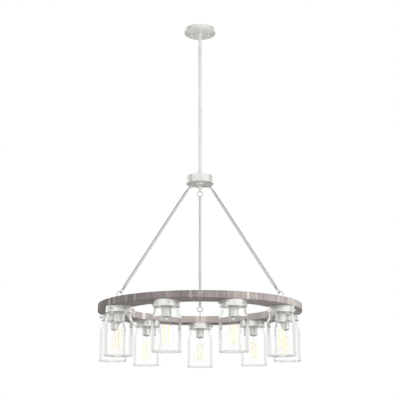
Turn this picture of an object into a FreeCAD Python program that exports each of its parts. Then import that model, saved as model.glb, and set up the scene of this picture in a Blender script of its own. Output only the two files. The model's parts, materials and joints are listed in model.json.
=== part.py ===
import FreeCAD, Part
import math
import os

# A nine-light ring chandelier: a ceiling canopy with a ball swivel, a stem in screwed sections, a hub,
# three rods on loose links, a flat wooden ring, and nine glass jars under metal caps. Millimetres, +Z up.
# The origin is the middle of the canopy, on the plane of the ceiling.

# The ring, and its underside's height below the top of the hub
ring_outer_diameter = 914.4
ring_width = 114.3
ring_thickness = 30.5
ring_edge_chamfer = 0.8
ring_below_hub = 635.0

# The lights, evenly spaced round the middle of the ring; every third one lies under a rod
light_count = 9
rod_count = 3
first_light_degrees = 90.0

# Clearances and other shared values
fit = 0.05
gap = 0.3
sheet = 1.2
overrun = 2.0
full_turn = 360.0

# The canopy, a pressed cup with a stepped floor
canopy_radius = 76.0
canopy_rim_depth = 15.5
canopy_depth = 18.0
canopy_corner = 3.0
canopy_step_outer_radius = 66.0
canopy_step_inner_radius = 56.0

# The two straps of the crossbar, the rivet that joins them, and the screws in them
strap_length = 102.0
strap_width = 20.0
strap_thickness = 2.0
box_slot_spacing = 80.0
box_slot_length = 20.0
box_slot_width = 4.8
stud_spacing = 82.0
stud_radius = 2.08
stud_hole_radius = 2.4
stud_below_canopy = 7.0
knob_radius = 4.9
knob_length = 10.0
knob_neck_radius = 3.6
knob_neck_length = 2.5
rivet_radius = 5.0
rivet_bore_radius = 4.0
rivet_head_radius = 7.0
rivet_flange_radius = 7.5
rivet_flange_thickness = 1.0
ground_screw_offset = 24.0
ground_screw_radius = 2.0
ground_screw_head_radius = 4.2
ground_screw_head_height = 2.6

# The ball swivel in the canopy floor
ball_radius = 14.0
ball_centre_drop = 12.0
ball_top_height = 2.0
seat_barrel_radius = 15.5
seat_flange_radius = 19.0
seat_flange_thickness = 1.8
seat_below_floor = 1.0

# The stem: a short top section, two long ones and a collar on the hub
first_joint_drop = 84.0
stem_radius = 8.0
stem_section_length = 316.0
stem_section_count = 2
collar_radius = 9.5
collar_length = 27.0
pipe_radius = 5.15
pipe_bore_radius = 3.6
pipe_half_length = 12.0

# The hub
hub_radius = 66.0
hub_height = 34.0
hub_wall = 1.5
hub_corner = 1.0
hub_taper = 3.0
hub_plate_recess = 5.0
hub_plate_thickness = 2.5
locknut_across_flats = 16.0
locknut_thickness = 5.0
finial_disc_radius = 20.0
finial_disc_thickness = 3.0
finial_neck_radius = 8.0
finial_ball_radius = 11.0
finial_drop = 31.0
finial_bore_depth = 14.0

# Eyes, links and rods
eye_inset_in_hub = 16.0
eye_centre_below_plate = 18.0
eye_centre_above_ring = 21.5
eye_outer_radius = 14.0
wire_radius = 1.75
link_outer_radius = 15.0
eye_collar_radius = 4.0
eye_shank_radius = 2.4
eye_nut_across_flats = 8.0
eye_nut_thickness = 4.0
eye_shank_end = 2.0
eye_root = 0.6
ring_eye_collar_radius = 6.3
ring_eye_collar_height = 5.0
ring_eye_neck_radius = 3.0
ring_eye_shank_radius = 2.8
ring_eye_shank_depth = 14.0
rod_radius = 6.35
rod_wall = 1.2
tongue_width = 11.0
tongue_thickness = 4.5
tongue_hole_radius = 3.0
tongue_length = 10.0
tongue_neck_length = 6.0
tongue_link_gap = 0.5
plug_length = 12.0

# Each light: the cap, its screws, the socket cup and the lampholder
cap_radius = 57.0
cap_height = 27.0
cap_screw_offset = 30.0
cap_screw_radius = 2.1
cap_screw_head_radius = 4.0
cap_screw_head_height = 2.5
cap_screw_depth = 14.0
thumbscrew_count = 3
thumbscrew_first_degrees = 30.0
thumbscrew_drop = 13.5
thumbscrew_radius = 2.08
thumbscrew_head_radius = 4.5
thumbscrew_head_length = 7.5
thumbscrew_head_round = 1.6
thumbscrew_head_standoff = 0.8
cup_radius = 20.3
cup_wall = 1.0
cup_bottom_drop = 66.0
cup_lip = 1.0
cup_lip_height = 2.0
holder_radius = 17.5
holder_bottom_drop = 62.0
holder_thread_height = 8.0
holder_nut_across_flats = 14.0
holder_nut_thickness = 4.0
pocket_radius = 12.0
pocket_depth = 12.0
wire_hole_radius = 2.6
wire_hole_offset = 9.2

# The glass jar
jar_lip_radius = 54.6
jar_lip_top_drop = 5.0
jar_neck_radius = 52.0
jar_shoulder_top_drop = 32.0
jar_shoulder_bottom_drop = 76.0
jar_body_radius = 62.0
jar_bottom_drop = 210.0
jar_wall = 5.0
jar_floor = 6.4
jar_corner = 5.0
jar_inner_corner = 6.0
jar_mark_radius = 14.5
jar_mark_depth = 1.2

# The bulb
base_radius = 13.1
base_root_radius = 12.3
base_top_drop = 46.0
base_bottom_drop = 70.0
base_thread_count = 6
contact_radius = 4.5
contact_height = 3.0
envelope_radius = 32.0
envelope_tip_drop = 188.0
envelope_wall = 0.9
mount_root_radius = 6.0
mount_press_radius = 2.6
mount_press_drop = 84.0
mount_wire_radius = 0.6
filament_count = 4
filament_first_degrees = 57.0
filament_circle_radius = 13.0
filament_radius = 1.5
filament_top_drop = 98.0
filament_bottom_drop = 176.0

# The bulb's outline, as shares of its radius and of its length below the base
envelope_shares = [
    (0.40, 0.00),
    (0.42, 0.07),
    (0.56, 0.24),
    (0.78, 0.44),
    (0.94, 0.60),
    (1.00, 0.74),
    (0.91, 0.88),
    (0.58, 0.975),
    (0.00, 1.00),
]

# Places worked out from the sizes above
ring_outer_radius = ring_outer_diameter / 2
ring_inner_radius = ring_outer_radius - ring_width
light_circle_radius = (ring_outer_radius + ring_inner_radius) / 2
canopy_floor = -canopy_depth
strap_bottom = -2 * strap_thickness
ball_centre = -ball_centre_drop
stem_top = ball_centre - math.sqrt(ball_radius**2 - stem_radius**2)
first_joint = -first_joint_drop
collar_top = first_joint - stem_section_count * stem_section_length
hub_top = collar_top - collar_length
hub_bottom = hub_top - hub_height
ring_bottom = hub_top - ring_below_hub
ring_top = ring_bottom + ring_thickness
plate_bottom = hub_bottom + hub_plate_recess
plate_top = plate_bottom + hub_plate_thickness
hub_bottom_radius = hub_radius - hub_taper
plate_radius = hub_bottom_radius - hub_wall - gap
finial_bottom = plate_bottom - finial_drop
hub_eye_centre = plate_bottom - eye_centre_below_plate
ring_eye_centre = ring_top + eye_centre_above_ring
eye_ring_radius = eye_outer_radius - wire_radius
link_ring_radius = link_outer_radius - wire_radius

# The line that each rod hangs in, from the middle of its hub eye to the middle of its ring eye
eye_circle_radius = hub_radius - eye_inset_in_hub
line_run = light_circle_radius - eye_circle_radius
line_fall = hub_eye_centre - ring_eye_centre
line_length = math.hypot(line_run, line_fall)
down_line = FreeCAD.Vector(line_run / line_length, 0, -line_fall / line_length)
across_line = FreeCAD.Vector(-down_line.z, 0, down_line.x)
eye_to_link = eye_ring_radius - 2 * wire_radius - gap + link_ring_radius
link_to_hole = link_ring_radius - wire_radius - tongue_link_gap + tongue_hole_radius
eye_to_hole = eye_to_link + link_to_hole

origin = FreeCAD.Vector(0, 0, 0)
up = FreeCAD.Vector(0, 0, 1)
outward = FreeCAD.Vector(1, 0, 0)
sideways = FreeCAD.Vector(0, 1, 0)


def cylinder(radius, bottom, top, x=0, y=0):
    """An upright round bar at x, y."""
    return Part.makeCylinder(radius, top - bottom, FreeCAD.Vector(x, y, bottom))


def pipe(radius, bore, bottom, top):
    """An upright tube on the main axis."""
    return cylinder(radius, bottom, top).cut(cylinder(bore, bottom - overrun, top + overrun))


def hexagon(across_flats, bore, bottom, top, x=0, y=0):
    """A hexagon nut."""
    reach = across_flats / math.sqrt(3)
    turns = [math.radians(full_turn * side / 6) for side in range(7)]
    corners = [FreeCAD.Vector(x + reach * math.cos(a), y + reach * math.sin(a), bottom) for a in turns]
    body = Part.Face(Part.makePolygon(corners)).extrude(up * (top - bottom))
    return body.cut(cylinder(bore, bottom - overrun, top + overrun, x, y))


def turned(edges):
    """A solid turned about the main axis from a closed run of edges in the XZ plane."""
    return Part.Face(Part.Wire(edges)).revolve(origin, up, full_turn)


def lines(points):
    """Straight edges through points given as radius and height."""
    places = [FreeCAD.Vector(radius, 0, height) for radius, height in points]
    return [Part.LineSegment(a, b).toShape() for a, b in zip(places, places[1:])]


def arc(centre_radius, centre_height, radius, start, end):
    """An edge round a centre in the XZ plane, between two angles in degrees."""
    turns = [math.radians(angle) for angle in (start, (start + end) / 2, end)]
    places = [
        FreeCAD.Vector(centre_radius + radius * math.cos(a), 0, centre_height + radius * math.sin(a))
        for a in turns
    ]
    return Part.Arc(*places).toShape()


def torus(ring_radius, tube_radius, centre, axis):
    """A closed ring of round wire."""
    return Part.makeTorus(ring_radius, tube_radius, centre, axis)


def along(shape, place, direction):
    """A shape drawn about +Z at the origin, moved to a place and turned to a direction in the XZ plane."""
    moved = shape.copy()
    moved.Placement = FreeCAD.Placement(place, FreeCAD.Rotation(up, direction))
    return moved


def on_line(distance):
    """A point on the rod's line, at a distance below the middle of the hub eye."""
    return FreeCAD.Vector(eye_circle_radius, 0, hub_eye_centre) + down_line * distance


def at_angle(shape, degrees):
    """A shape drawn on the +X side, carried round the main axis."""
    moved = shape.copy()
    moved.rotate(origin, up, degrees)
    return moved


def light_degrees(number):
    return first_light_degrees + full_turn * number / light_count


def rod_degrees(number):
    return first_light_degrees + full_turn * number / rod_count


def at_light(shape, number):
    """A shape drawn on the main axis, outward side +X, carried to a light."""
    moved = shape.copy()
    moved.translate(outward * light_circle_radius)
    return at_angle(moved, light_degrees(number))


def at_each_light(shapes):
    return [at_light(shape, number) for number in range(light_count) for shape in shapes]


def at_each_rod(shape):
    return [at_angle(shape, rod_degrees(number)) for number in range(rod_count)]


def save(name, shapes):
    """Writes one node: a single solid, or a group of separate solids."""
    node = shapes[0] if len(shapes) == 1 else Part.makeCompound(shapes)
    node.exportStep("parts/" + name + ".step")


# The crossbar, the canopy and what holds them together


def strap():
    """A flat strap along Y, its top on the plane of the ceiling, with no holes yet."""
    corner = FreeCAD.Vector(-strap_width / 2, -strap_length / 2, -strap_thickness)
    return Part.makeBox(strap_width, strap_length, strap_thickness, corner)


def slot(centre):
    """A slot through a strap, along Y."""
    half_straight = (box_slot_length - box_slot_width) / 2
    corner = FreeCAD.Vector(-box_slot_width / 2, centre - half_straight, -strap_thickness - overrun)
    middle = Part.makeBox(box_slot_width, 2 * half_straight, strap_thickness + 2 * overrun, corner)
    ends = [
        cylinder(box_slot_width / 2, -strap_thickness - overrun, overrun, 0, centre + side * half_straight)
        for side in (-1, 1)
    ]
    return middle.fuse(ends)


def rivet_cone(allowance):
    """The countersunk head of the strap rivet, or the seat for it."""
    bottom = FreeCAD.Vector(0, 0, -strap_thickness)
    return Part.makeCone(rivet_radius + allowance, rivet_head_radius + allowance, strap_thickness, bottom)


def box_strap():
    body = strap()
    for side in (-1, 1):
        body = body.cut(slot(side * box_slot_spacing / 2))
    return body.cut(rivet_cone(fit))


def canopy_strap():
    body = at_angle(strap(), 90)
    body.translate(up * -strap_thickness)
    body = body.cut(cylinder(rivet_radius + fit, strap_bottom - overrun, overrun))
    for side in (-1, 1):
        hole = cylinder(stud_radius + fit, strap_bottom - overrun, overrun, side * stud_spacing / 2)
        body = body.cut(hole)
    hole = cylinder(ground_screw_radius + fit, strap_bottom - overrun, overrun, ground_screw_offset)
    return body.cut(hole)


def strap_rivet():
    barrel = cylinder(rivet_radius, strap_bottom - rivet_flange_thickness, -strap_thickness)
    flange = cylinder(rivet_flange_radius, strap_bottom - rivet_flange_thickness, strap_bottom)
    body = rivet_cone(0).fuse([barrel, flange])
    return body.cut(cylinder(rivet_bore_radius, strap_bottom - overrun, overrun))


def ground_screw():
    head = cylinder(
        ground_screw_head_radius, strap_bottom - ground_screw_head_height, strap_bottom, ground_screw_offset
    )
    shank = cylinder(ground_screw_radius, strap_bottom, -strap_thickness / 2, ground_screw_offset)
    return head.fuse(shank)


def canopy_stud(side):
    bottom = canopy_floor - stud_below_canopy
    return cylinder(stud_radius, bottom, -strap_thickness, side * stud_spacing / 2)


def canopy_knob(side):
    """A round knob nut with a narrow neck, against the canopy floor."""
    neck_bottom = canopy_floor - knob_neck_length
    bottom = canopy_floor - knob_length
    round_centre = bottom + knob_radius
    edges = lines([(0, bottom), (0, canopy_floor), (knob_neck_radius, canopy_floor)])
    edges += lines([(knob_neck_radius, canopy_floor), (knob_neck_radius, neck_bottom)])
    edges += lines([(knob_neck_radius, neck_bottom), (knob_radius, neck_bottom)])
    edges += lines([(knob_radius, neck_bottom), (knob_radius, round_centre)])
    edges.append(arc(0, round_centre, knob_radius, 0, -90))
    body = turned(edges)
    body = body.cut(cylinder(stud_radius + fit, canopy_floor - stud_below_canopy, canopy_floor + overrun))
    body.translate(outward * side * stud_spacing / 2)
    return body


def canopy():
    """The pressed cup, open against the ceiling, with the swivel hole and two screw holes."""
    corner_centre = canopy_radius - canopy_corner
    corner_height = canopy_corner - canopy_rim_depth
    inner = canopy_radius - sheet
    edges = lines([(inner, 0), (canopy_radius, 0), (canopy_radius, corner_height)])
    edges.append(arc(corner_centre, corner_height, canopy_corner, 0, -90))
    edges += lines(
        [
            (corner_centre, -canopy_rim_depth),
            (canopy_step_outer_radius, -canopy_rim_depth),
            (canopy_step_inner_radius, canopy_floor),
            (seat_barrel_radius + fit, canopy_floor),
            (seat_barrel_radius + fit, canopy_floor + sheet),
            (canopy_step_inner_radius - sheet / 2, canopy_floor + sheet),
            (canopy_step_outer_radius - sheet / 2, sheet - canopy_rim_depth),
            (corner_centre, sheet - canopy_rim_depth),
        ]
    )
    edges.append(arc(corner_centre, corner_height, canopy_corner - sheet, -90, 0))
    edges += lines([(inner, corner_height), (inner, 0)])
    body = turned(edges)
    for side in (-1, 1):
        hole = cylinder(stud_hole_radius, canopy_floor - overrun, 0, side * stud_spacing / 2)
        body = body.cut(hole)
    return body


# The ball swivel and the stem


def swivel_seat():
    """A nylon ring in the canopy's hole, hollowed to the ball."""
    floor_top = canopy_floor + sheet
    bottom = canopy_floor - seat_below_floor
    flange = cylinder(seat_flange_radius, floor_top, floor_top + seat_flange_thickness)
    barrel = cylinder(seat_barrel_radius, bottom, floor_top)
    return flange.fuse(barrel).cut(Part.makeSphere(ball_radius + fit, FreeCAD.Vector(0, 0, ball_centre)))


def swivel_ball():
    whole = Part.makeSphere(ball_radius, FreeCAD.Vector(0, 0, ball_centre))
    body = whole.common(cylinder(ball_radius, stem_top, ball_centre + ball_top_height))
    ball_top = ball_centre + ball_top_height
    return body.cut(cylinder(pipe_radius + fit, stem_top - overrun, ball_top + overrun))


def stem_section(bottom, top):
    return pipe(stem_radius, pipe_radius + fit, bottom, top)


def stem_nipple(joint):
    """A hollow threaded pipe across one joint of the stem."""
    return pipe(pipe_radius, pipe_bore_radius, joint - pipe_half_length, joint + pipe_half_length)


# The hub


def hub_nipple():
    """The long threaded pipe from the stem's lower section through the collar and hub to the finial."""
    bottom = plate_bottom - finial_bore_depth + gap
    return pipe(pipe_radius, pipe_bore_radius, bottom, collar_top + pipe_half_length)


def hub_shell():
    corner_radius = hub_radius - hub_corner
    inner = hub_radius - hub_wall
    edges = lines([(pipe_radius + fit, hub_top), (corner_radius, hub_top)])
    edges.append(arc(corner_radius, hub_top - hub_corner, hub_corner, 90, 0))
    edges += lines(
        [
            (hub_radius, hub_top - hub_corner),
            (hub_bottom_radius, hub_bottom),
            (hub_bottom_radius - hub_wall, hub_bottom),
            (inner, hub_top - hub_wall),
            (pipe_radius + fit, hub_top - hub_wall),
            (pipe_radius + fit, hub_top),
        ]
    )
    return turned(edges)


def hub_plate():
    body = pipe(plate_radius, pipe_radius + fit, plate_bottom, plate_top)
    hole = cylinder(eye_shank_radius + fit, plate_bottom - overrun, plate_top + overrun, eye_circle_radius)
    for cut in at_each_rod(hole):
        body = body.cut(cut)
    return body


def hub_finial():
    """The turned nut under the hub: a flat disc, a neck and a ball, with a blind thread."""
    ball_middle = finial_bottom + finial_ball_radius
    neck_angle = math.degrees(math.acos(finial_neck_radius / finial_ball_radius))
    neck_bottom = ball_middle + finial_ball_radius * math.sin(math.radians(neck_angle))
    disc_bottom = plate_bottom - finial_disc_thickness
    edges = lines(
        [
            (0, finial_bottom),
            (0, plate_bottom),
            (finial_disc_radius, plate_bottom),
            (finial_disc_radius, disc_bottom),
            (finial_neck_radius, disc_bottom),
            (finial_neck_radius, neck_bottom),
        ]
    )
    edges.append(arc(0, ball_middle, finial_ball_radius, neck_angle, -90))
    body = turned(edges)
    return body.cut(cylinder(pipe_radius + fit, plate_bottom - finial_bore_depth, plate_bottom + overrun))


# Eyes, links and rods, drawn on the +X side


def hub_eye():
    """A wire eye in the rod's plane, with a collar under the hub plate and a threaded shank through it."""
    centre = FreeCAD.Vector(eye_circle_radius, 0, hub_eye_centre)
    root = hub_eye_centre + eye_outer_radius - eye_root
    shank_top = plate_top + eye_nut_thickness + eye_shank_end
    loop = torus(eye_ring_radius, wire_radius, centre, sideways)
    collar = cylinder(eye_collar_radius, root, plate_bottom, eye_circle_radius)
    shank = cylinder(eye_shank_radius, root, shank_top, eye_circle_radius)
    return loop.fuse([collar, shank])


def hub_eye_nut():
    bore = eye_shank_radius + fit
    return hexagon(eye_nut_across_flats, bore, plate_top, plate_top + eye_nut_thickness, eye_circle_radius)


def ring_eye():
    """A wire eye on a collar, screwed into the top of the wooden ring."""
    centre = FreeCAD.Vector(light_circle_radius, 0, ring_eye_centre)
    root = ring_eye_centre - eye_outer_radius + eye_root
    collar_top_height = ring_top + ring_eye_collar_height
    loop = torus(eye_ring_radius, wire_radius, centre, sideways)
    neck = cylinder(ring_eye_neck_radius, collar_top_height, root, light_circle_radius)
    collar = cylinder(ring_eye_collar_radius, ring_top, collar_top_height, light_circle_radius)
    shank = cylinder(ring_eye_shank_radius, ring_top - ring_eye_shank_depth, ring_top, light_circle_radius)
    return loop.fuse([neck, collar, shank])


def link(distance):
    """A closed link across the rod's plane, its middle at a distance down the line."""
    return torus(link_ring_radius, wire_radius, on_line(distance), across_line)


def rod_eye():
    """A flat tongue with a cross hole at the origin, on a neck and a plug that run along +Z."""
    half_width = tongue_width / 2
    corner = FreeCAD.Vector(-half_width, -tongue_thickness / 2, 0)
    blade = Part.makeBox(tongue_width, tongue_thickness, tongue_length - half_width, corner)
    start = sideways * (-tongue_thickness / 2)
    tip = Part.makeCylinder(half_width, tongue_thickness, start, sideways)
    neck_bottom = tongue_length - half_width
    neck_top = neck_bottom + tongue_neck_length
    neck = cylinder(half_width, neck_bottom, neck_top)
    plug = cylinder(rod_radius - rod_wall - fit, neck_top, neck_top + plug_length)
    hole_start = sideways * (-tongue_thickness / 2 - overrun)
    hole = Part.makeCylinder(tongue_hole_radius, tongue_thickness + 2 * overrun, hole_start, sideways)
    return blade.fuse([tip, neck, plug]).cut(hole)


def rod_eyes():
    """The fittings in the two ends of one rod."""
    upper = along(rod_eye(), on_line(eye_to_hole), down_line)
    lower = along(rod_eye(), on_line(line_length - eye_to_hole), down_line * -1)
    return [upper, lower]


def rod_tube():
    end = eye_to_hole + tongue_length - tongue_width / 2 + tongue_neck_length
    length = line_length - 2 * end
    outside = Part.makeCylinder(rod_radius, length, on_line(end), down_line)
    inside = Part.makeCylinder(
        rod_radius - rod_wall, length + 2 * overrun, on_line(end - overrun), down_line
    )
    return outside.cut(inside)


# The wooden ring, and the pieces of one light, drawn on the main axis with the outward side along +X


def wood_ring():
    """The flat ring, with a pocket and a wire hole over each light and holes for the screws and eyes."""
    body = pipe(ring_outer_radius, ring_inner_radius, ring_bottom, ring_top)
    rims = [edge for edge in body.Edges if not edge.isSeam(body.Faces[0]) and edge.Closed]
    body = body.makeChamfer(ring_edge_chamfer, rims)
    pocket = cylinder(pocket_radius, ring_bottom - overrun, ring_bottom + pocket_depth)
    wires = cylinder(wire_hole_radius, ring_bottom, ring_top + overrun, -wire_hole_offset)
    screws = [
        cylinder(
            cap_screw_radius + fit,
            ring_bottom - overrun,
            ring_bottom + cap_screw_depth + gap,
            0,
            side * cap_screw_offset,
        )
        for side in (-1, 1)
    ]
    eye_bottom = ring_top - ring_eye_shank_depth - gap
    eye_hole = cylinder(ring_eye_shank_radius + fit, eye_bottom, ring_top + overrun, light_circle_radius)
    cuts = at_each_light([pocket.fuse(wires)] + screws) + at_each_rod(eye_hole)
    for cut in cuts:
        body = body.cut(cut)
    return body


def thumbscrew_direction(number):
    angle = math.radians(thumbscrew_first_degrees + full_turn * number / thumbscrew_count)
    return FreeCAD.Vector(math.cos(angle), math.sin(angle), 0)


def toward(shape, number):
    """A shape drawn about +Z at the origin, laid along one thumbscrew's axis."""
    moved = shape.copy()
    place = FreeCAD.Vector(0, 0, ring_bottom - thumbscrew_drop)
    moved.Placement = FreeCAD.Placement(place, FreeCAD.Rotation(up, thumbscrew_direction(number)))
    return moved


def jar_cap():
    """The metal cap against the underside of the ring, open below."""
    body = cylinder(cap_radius, ring_bottom - cap_height, ring_bottom)
    body = body.cut(cylinder(cap_radius - sheet, ring_bottom - cap_height - overrun, ring_bottom - sheet))
    body = body.cut(cylinder(pipe_radius + fit, ring_bottom - cap_height, ring_bottom + overrun))
    for side in (-1, 1):
        y = side * cap_screw_offset
        hole = cylinder(cap_screw_radius + fit, ring_bottom - cap_height, ring_bottom + overrun, 0, y)
        body = body.cut(hole)
    side_hole = cylinder(thumbscrew_radius + fit, cup_radius, cap_radius + overrun)
    for number in range(thumbscrew_count):
        body = body.cut(toward(side_hole, number))
    return body


def thumbscrew():
    """A round-headed thumbscrew along +Z: its tip bears on the jar's neck, its head is outside the cap."""
    tip = jar_neck_radius + gap
    head_start = cap_radius + thumbscrew_head_standoff
    head_end = head_start + thumbscrew_head_length
    corner = thumbscrew_head_radius - thumbscrew_head_round
    edges = lines(
        [
            (0, head_end),
            (0, tip),
            (thumbscrew_radius, tip),
            (thumbscrew_radius, head_start),
            (thumbscrew_head_radius, head_start),
            (thumbscrew_head_radius, head_end - thumbscrew_head_round),
        ]
    )
    edges.append(arc(corner, head_end - thumbscrew_head_round, thumbscrew_head_round, 0, 90))
    edges += lines([(corner, head_end), (0, head_end)])
    return turned(edges)


def thumbscrews():
    return [toward(thumbscrew(), number) for number in range(thumbscrew_count)]


def cap_screws():
    """The two screws that hold a cap to the ring, heads inside the cap."""
    head_top = ring_bottom - sheet
    pairs = []
    for side in (-1, 1):
        y = side * cap_screw_offset
        head = cylinder(cap_screw_head_radius, head_top - cap_screw_head_height, head_top, 0, y)
        pairs.append(head.fuse(cylinder(cap_screw_radius, head_top, ring_bottom + cap_screw_depth, 0, y)))
    return pairs


def socket_cup():
    """The spun cup round the lampholder, with a small turned-in lip at its mouth."""
    top = ring_bottom - sheet
    bottom = ring_bottom - cup_bottom_drop
    inner = cup_radius - cup_wall
    return turned(
        lines(
            [
                (pipe_radius + fit, top),
                (cup_radius, top),
                (cup_radius, bottom),
                (inner - cup_lip, bottom),
                (inner - cup_lip, bottom + cup_lip_height),
                (inner, bottom + cup_lip_height),
                (inner, top - cup_wall),
                (pipe_radius + fit, top - cup_wall),
                (pipe_radius + fit, top),
            ]
        )
    )


def lampholder():
    """The insulating body with its hollow threaded neck, which goes up through the cup and the cap."""
    shoulder = ring_bottom - sheet - cup_wall
    mouth = ring_bottom - holder_bottom_drop
    well = ring_bottom - base_top_drop + contact_height
    body = cylinder(holder_radius, mouth, shoulder)
    neck_top = ring_bottom + holder_thread_height
    body = body.fuse(cylinder(pipe_radius, shoulder, neck_top))
    body = body.cut(cylinder(base_radius + fit, mouth - overrun, well))
    return body.cut(cylinder(pipe_bore_radius, shoulder - overrun, neck_top + overrun))


def holder_nut():
    """The nut in the ring's pocket that clamps the cap, the cup and the lampholder."""
    return hexagon(
        holder_nut_across_flats, pipe_radius + fit, ring_bottom, ring_bottom + holder_nut_thickness
    )


def jar_side(inset):
    """The jar's shoulder as two tangent arcs, from the neck down to the body, set in by a wall or not."""
    neck = jar_neck_radius - inset
    body = jar_body_radius - inset
    top = ring_bottom - jar_shoulder_top_drop
    bottom = ring_bottom - jar_shoulder_bottom_drop
    turn = 2 * math.atan((jar_body_radius - jar_neck_radius) / (top - bottom))
    middle_radius = (top - bottom) / (2 * math.sin(turn))
    upper = arc(neck + middle_radius + inset, top, middle_radius + inset, 180, 180 + math.degrees(turn))
    lower = arc(body - middle_radius + inset, bottom, middle_radius - inset, math.degrees(turn), 0)
    return [upper, lower]


def glass_jar():
    """The clear jar: a lip held by the thumbscrews, a straight neck, a shoulder and a thick floor."""
    top = ring_bottom - jar_lip_top_drop
    lip_bottom = ring_bottom - thumbscrew_drop + thumbscrew_radius + gap
    shoulder_top = ring_bottom - jar_shoulder_top_drop
    shoulder_bottom = ring_bottom - jar_shoulder_bottom_drop
    bottom = ring_bottom - jar_bottom_drop
    corner_radius = jar_body_radius - jar_corner
    corner_height = bottom + jar_corner
    neck_inner = jar_neck_radius - jar_wall
    body_inner = jar_body_radius - jar_wall
    floor_top = bottom + jar_floor
    edges = lines(
        [
            (neck_inner, top),
            (jar_lip_radius, top),
            (jar_lip_radius, lip_bottom),
            (jar_neck_radius, lip_bottom),
            (jar_neck_radius, shoulder_top),
        ]
    )
    edges += jar_side(0)
    edges += lines([(jar_body_radius, shoulder_bottom), (jar_body_radius, corner_height)])
    edges.append(arc(corner_radius, corner_height, jar_corner, 0, -90))
    edges += lines(
        [
            (corner_radius, bottom),
            (jar_mark_radius, bottom),
            (jar_mark_radius, bottom + jar_mark_depth),
            (0, bottom + jar_mark_depth),
            (0, floor_top),
            (body_inner - jar_inner_corner, floor_top),
        ]
    )
    edges.append(arc(body_inner - jar_inner_corner, floor_top + jar_inner_corner, jar_inner_corner, -90, 0))
    edges += lines([(body_inner, floor_top + jar_inner_corner), (body_inner, shoulder_bottom)])
    edges += jar_side(jar_wall)
    edges += lines([(neck_inner, shoulder_top), (neck_inner, top)])
    return turned(Part.sortEdges(edges)[0])


# The bulb


def bulb_base():
    """The screw base with its ridges, and the contact at its end."""
    top = ring_bottom - base_top_drop
    bottom = ring_bottom - base_bottom_drop
    pitch = (top - bottom) / (base_thread_count + 1)
    outline = [(0, bottom), (base_radius, bottom)]
    for ridge in range(base_thread_count):
        crest = bottom + (ridge + 1) * pitch
        outline += [(base_root_radius, crest), (base_radius, crest + pitch / 2)]
    outline += [(base_root_radius, top - pitch / 4), (contact_radius, top)]
    outline += [(contact_radius, top + contact_height - gap), (0, top + contact_height - gap), (0, bottom)]
    return turned(lines(outline))


def envelope_body(radius, length):
    """The bulb's outer form, turned from a smooth curve between the base and the tip."""
    start = ring_bottom - base_bottom_drop
    places = [FreeCAD.Vector(radius * r, 0, start - length * z) for r, z in envelope_shares]
    curve = Part.BSplineCurve()
    curve.interpolate(Points=places, InitialTangent=up * -1, FinalTangent=outward * -1)
    neck = radius * envelope_shares[0][0]
    return turned([curve.toShape()] + lines([(0, start - length), (0, start), (neck, start)]))


def bulb_glass():
    length = envelope_tip_drop - base_bottom_drop
    outside = envelope_body(envelope_radius, length)
    return outside.cut(envelope_body(envelope_radius - envelope_wall, length - envelope_wall))


def bulb_mount():
    """The glass press and its wires, which carry the upright filaments."""
    root = ring_bottom - base_bottom_drop
    press = ring_bottom - mount_press_drop
    top = ring_bottom - filament_top_drop
    bottom = ring_bottom - filament_bottom_drop
    flare = Part.makeCone(mount_press_radius, mount_root_radius, root - press, FreeCAD.Vector(0, 0, press))
    pieces = [cylinder(mount_wire_radius, bottom, press)]
    for number in range(filament_count):
        angle = filament_first_degrees + full_turn * number / filament_count
        stick = cylinder(filament_radius, bottom, top, filament_circle_radius)
        pieces.append(at_angle(stick, angle))
        for height in (top - filament_radius, bottom + filament_radius):
            arm = Part.makeCylinder(
                mount_wire_radius, filament_circle_radius, FreeCAD.Vector(0, 0, height), outward
            )
            pieces.append(at_angle(arm, angle))
    return flare.fuse(pieces)


os.makedirs("parts", exist_ok=True)

save("box_strap", [box_strap()])
save("canopy_strap", [canopy_strap()])
save("strap_rivet", [strap_rivet()])
save("ground_screw", [ground_screw()])
save("canopy_studs", [canopy_stud(side) for side in (-1, 1)])
save("canopy_knobs", [canopy_knob(side) for side in (-1, 1)])
save("canopy", [canopy()])

save("swivel_seat", [swivel_seat()])
save("swivel_ball", [swivel_ball()])
stem_joints = [first_joint - stem_section_length * number for number in range(stem_section_count)]
save("stem_top_section", [stem_section(first_joint, stem_top)])
save("stem_upper_section", [stem_section(stem_joints[0] - stem_section_length, stem_joints[0])])
save("stem_lower_section", [stem_section(collar_top, stem_joints[-1])])
save("stem_collar", [pipe(collar_radius, pipe_radius + fit, hub_top, collar_top)])
stem_nipples = [stem_nipple(joint) for joint in [stem_top] + stem_joints]
save("stem_nipples", stem_nipples + [hub_nipple()])

save("hub_shell", [hub_shell()])
save("hub_plate", [hub_plate()])
locknut_tops = [hub_top - hub_wall, plate_top + locknut_thickness]
locknut_bore = pipe_radius + fit
save(
    "hub_locknuts",
    [hexagon(locknut_across_flats, locknut_bore, top - locknut_thickness, top) for top in locknut_tops],
)
save("hub_finial", [hub_finial()])
save("hub_eyes", at_each_rod(hub_eye()))
save("hub_eye_nuts", at_each_rod(hub_eye_nut()))

for number, side in enumerate(("far", "left", "right")):
    turn = rod_degrees(number)
    save("upper_link_" + side, [at_angle(link(eye_to_link), turn)])
    save("rod_tube_" + side, [at_angle(rod_tube(), turn)])
    save("rod_eyes_" + side, [at_angle(shape, turn) for shape in rod_eyes()])
    save("lower_link_" + side, [at_angle(link(line_length - eye_to_link), turn)])

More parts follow.
